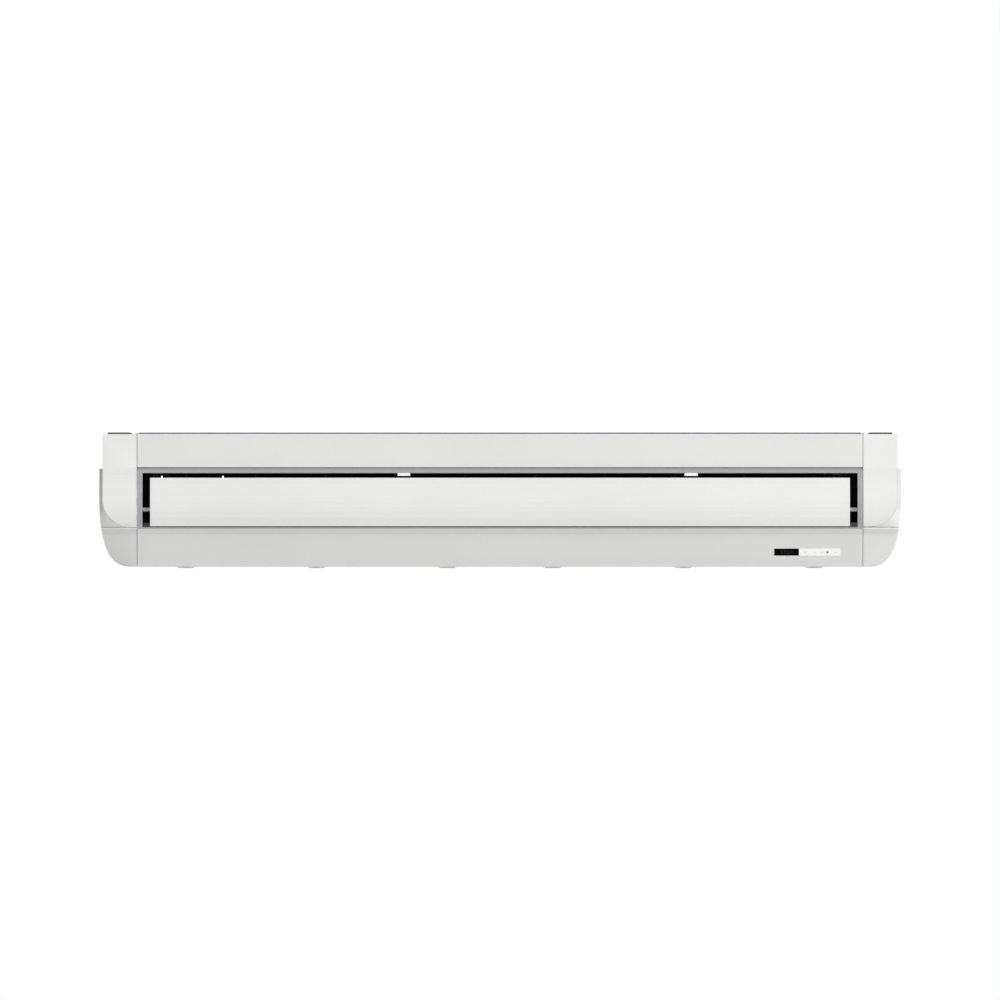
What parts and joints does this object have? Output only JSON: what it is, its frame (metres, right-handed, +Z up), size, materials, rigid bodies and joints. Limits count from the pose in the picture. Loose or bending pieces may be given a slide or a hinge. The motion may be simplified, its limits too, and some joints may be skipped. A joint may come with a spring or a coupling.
{
  "type": "floor ceiling air conditioner",
  "caption": "Long slim ceiling-hung fan coil unit with a convex outlet flap, turning vanes, curved moulded ends and hinged underside intake grilles.",
  "frame": {"origin": "middle of the four hanger bolt holes, on the ceiling plane", "axes": "+X along the unit to its right end seen from the front, -Y out of the front, +Z up to the ceiling"},
  "size_m": [1.4, 0.6773, 0.2374],
  "materials": {
    "galvanised_steel": "galvanised sheet steel",
    "white_shell": "moulded white ABS, fine satin texture",
    "white_panel": "white powder coat on steel",
    "grey_frame": "moulded grey ABS",
    "duct_foam": "black flocked foam",
    "vane_black": "dark moulded plastic",
    "link_white": "white moulded plastic",
    "aluminium_fin": "thin bare fins",
    "copper": "bare copper tube",
    "brass": "turned brass",
    "pan_foam": "white expanded foam",
    "fan_plastic": "dark moulded plastic",
    "motor_steel": "zinc plated steel",
    "shaft_steel": "ground steel",
    "board_green": "circuit board with parts",
    "terminal_plastic": "moulded terminal base",
    "capacitor_case": "moulded case",
    "rubber": "soft rubber",
    "display_black": "dark smoked window",
    "indicator_white": "white translucent window",
    "button_grey": "small moulded button",
    "grille_white": "moulded white ABS",
    "filter_mesh": "nylon mesh in a moulded frame"
  },
  "bodies": {
    "casing": {"top_plate": "galvanised_steel", "rear_plate": "galvanised_steel", "side_plates": "galvanised_steel", "hanger_brackets": "galvanised_steel", "front_top_panel": "white_panel", "lower_front_panel": "white_shell", "end_cover_left": "white_shell", "end_cover_right": "white_shell", "side_shell_left": "white_shell", "side_shell_right": "white_shell", "outlet_frame": "grey_frame", "outlet_duct": "duct_foam", "flap_pins": "grey_frame", "flap_motor": "motor_steel", "coil_fins": "aluminium_fin", "coil_end_plates": "galvanised_steel", "coil_tubes": "copper", "drain_pan": "pan_foam", "refrigerant_pipes": "copper", "flare_nuts": "brass", "fan_deck": "galvanised_steel", "scroll_housings": "fan_plastic", "fan_motor": "motor_steel", "motor_clamp": "galvanised_steel", "end_bearings": "rubber", "electric_box": "galvanised_steel", "electric_box_cover": "galvanised_steel", "control_board": "board_green", "terminal_block": "terminal_plastic", "capacitor": "capacitor_case", "cable_grommet": "rubber", "display_board": "board_green", "display_window": "display_black", "indicator_window": "indicator_white"},
    "flap": {"flap": "white_shell"},
    "rotor": {"fan_shaft": "shaft_steel", "blower_wheels": "fan_plastic"},
    "link_left": {"vane_link_left": "link_white"},
    "link_right": {"vane_link_right": "link_white"},
    "grille_left": {"intake_grille_left": "grille_white", "filter_left": "filter_mesh"},
    "grille_right": {"intake_grille_right": "grille_white", "filter_right": "filter_mesh"},
    "button": {"auto_button": "button_grey"},
    "vane_1": {"vane_1": "vane_black"},
    "vane_2": {"vane_2": "vane_black"},
    "vane_3": {"vane_3": "vane_black"},
    "vane_4": {"vane_4": "vane_black"},
    "vane_5": {"vane_5": "vane_black"},
    "vane_6": {"vane_6": "vane_black"},
    "vane_7": {"vane_7": "vane_black"},
    "vane_8": {"vane_8": "vane_black"},
    "vane_9": {"vane_9": "vane_black"},
    "vane_10": {"vane_10": "vane_black"},
    "latch_left_1": {"latch_left_1": "grille_white"},
    "latch_left_2": {"latch_left_2": "grille_white"},
    "latch_left_3": {"latch_left_3": "grille_white"},
    "latch_right_1": {"latch_right_1": "grille_white"},
    "latch_right_2": {"latch_right_2": "grille_white"},
    "latch_right_3": {"latch_right_3": "grille_white"}
  },
  "joints": [
    {"name": "flap_hinge", "type": "hinge", "parent": "casing", "child": "flap", "pos_m": [0, -0.334, -0.135], "axis": [1, 0, 0], "range_deg": [0, 75]},
    {"name": "fan_spin", "type": "hinge", "parent": "casing", "child": "rotor", "pos_m": [0, 0.19, -0.118], "axis": [1, 0, 0], "continuous": true},
    {"name": "link_left_slide", "type": "slide", "parent": "casing", "child": "link_left", "axis": [1, 0, 0], "range_m": [-0.01522, 0.01522]},
    {"name": "link_right_slide", "type": "slide", "parent": "casing", "child": "link_right", "axis": [1, 0, 0], "range_m": [-0.01522, 0.01522]},
    {"name": "vane_1_hinge", "type": "hinge", "parent": "casing", "child": "vane_1", "pos_m": [-0.549, -0.27, -0.0712], "axis": [0, 0, 1], "range_deg": [-35, 35]},
    {"name": "vane_2_hinge", "type": "hinge", "parent": "casing", "child": "vane_2", "pos_m": [-0.427, -0.27, -0.0712], "axis": [0, 0, 1], "range_deg": [-35, 35]},
    {"name": "vane_3_hinge", "type": "hinge", "parent": "casing", "child": "vane_3", "pos_m": [-0.305, -0.27, -0.0712], "axis": [0, 0, 1], "range_deg": [-35, 35]},
    {"name": "vane_4_hinge", "type": "hinge", "parent": "casing", "child": "vane_4", "pos_m": [-0.183, -0.27, -0.0712], "axis": [0, 0, 1], "range_deg": [-35, 35]},
    {"name": "vane_5_hinge", "type": "hinge", "parent": "casing", "child": "vane_5", "pos_m": [-0.061, -0.27, -0.0712], "axis": [0, 0, 1], "range_deg": [-35, 35]},
    {"name": "vane_6_hinge", "type": "hinge", "parent": "casing", "child": "vane_6", "pos_m": [0.061, -0.27, -0.0712], "axis": [0, 0, 1], "range_deg": [-35, 35]},
    {"name": "vane_7_hinge", "type": "hinge", "parent": "casing", "child": "vane_7", "pos_m": [0.183, -0.27, -0.0712], "axis": [0, 0, 1], "range_deg": [-35, 35]},
    {"name": "vane_8_hinge", "type": "hinge", "parent": "casing", "child": "vane_8", "pos_m": [0.305, -0.27, -0.0712], "axis": [0, 0, 1], "range_deg": [-35, 35]},
    {"name": "vane_9_hinge", "type": "hinge", "parent": "casing", "child": "vane_9", "pos_m": [0.427, -0.27, -0.0712], "axis": [0, 0, 1], "range_deg": [-35, 35]},
    {"name": "vane_10_hinge", "type": "hinge", "parent": "casing", "child": "vane_10", "pos_m": [0.549, -0.27, -0.0712], "axis": [0, 0, 1], "range_deg": [-35, 35]},
    {"name": "grille_left_hinge", "type": "hinge", "parent": "casing", "child": "grille_left", "pos_m": [0, 0.25, -0.2315], "axis": [1, 0, 0], "range_deg": [0, 80]},
    {"name": "grille_right_hinge", "type": "hinge", "parent": "casing", "child": "grille_right", "pos_m": [0, 0.25, -0.2315], "axis": [1, 0, 0], "range_deg": [0, 80]},
    {"name": "latch_left_1_slide", "type": "slide", "parent": "grille_left", "child": "latch_left_1", "axis": [0, 1, 0], "range_m": [0, 0.007]},
    {"name": "latch_left_2_slide", "type": "slide", "parent": "grille_left", "child": "latch_left_2", "axis": [0, 1, 0], "range_m": [0, 0.007]},
    {"name": "latch_left_3_slide", "type": "slide", "parent": "grille_left", "child": "latch_left_3", "axis": [0, 1, 0], "range_m": [0, 0.007]},
    {"name": "latch_right_1_slide", "type": "slide", "parent": "grille_right", "child": "latch_right_1", "axis": [0, 1, 0], "range_m": [0, 0.007]},
    {"name": "latch_right_2_slide", "type": "slide", "parent": "grille_right", "child": "latch_right_2", "axis": [0, 1, 0], "range_m": [0, 0.007]},
    {"name": "latch_right_3_slide", "type": "slide", "parent": "grille_right", "child": "latch_right_3", "axis": [0, 1, 0], "range_m": [0, 0.007]},
    {"name": "auto_button_press", "type": "slide", "parent": "casing", "child": "button", "axis": [0, 0.7671, 0.6415], "range_m": [0, 0.0008], "stiffness_N_per_m": 300}
  ],
  "couplings": [
    {"joint": "vane_1_hinge", "follows": "link_left_slide", "rad_per_m": -40},
    {"joint": "vane_2_hinge", "follows": "link_left_slide", "rad_per_m": -40},
    {"joint": "vane_3_hinge", "follows": "link_left_slide", "rad_per_m": -40},
    {"joint": "vane_4_hinge", "follows": "link_left_slide", "rad_per_m": -40},
    {"joint": "vane_5_hinge", "follows": "link_left_slide", "rad_per_m": -40},
    {"joint": "vane_6_hinge", "follows": "link_right_slide", "rad_per_m": -40},
    {"joint": "vane_7_hinge", "follows": "link_right_slide", "rad_per_m": -40},
    {"joint": "vane_8_hinge", "follows": "link_right_slide", "rad_per_m": -40},
    {"joint": "vane_9_hinge", "follows": "link_right_slide", "rad_per_m": -40},
    {"joint": "vane_10_hinge", "follows": "link_right_slide", "rad_per_m": -40}
  ]
}
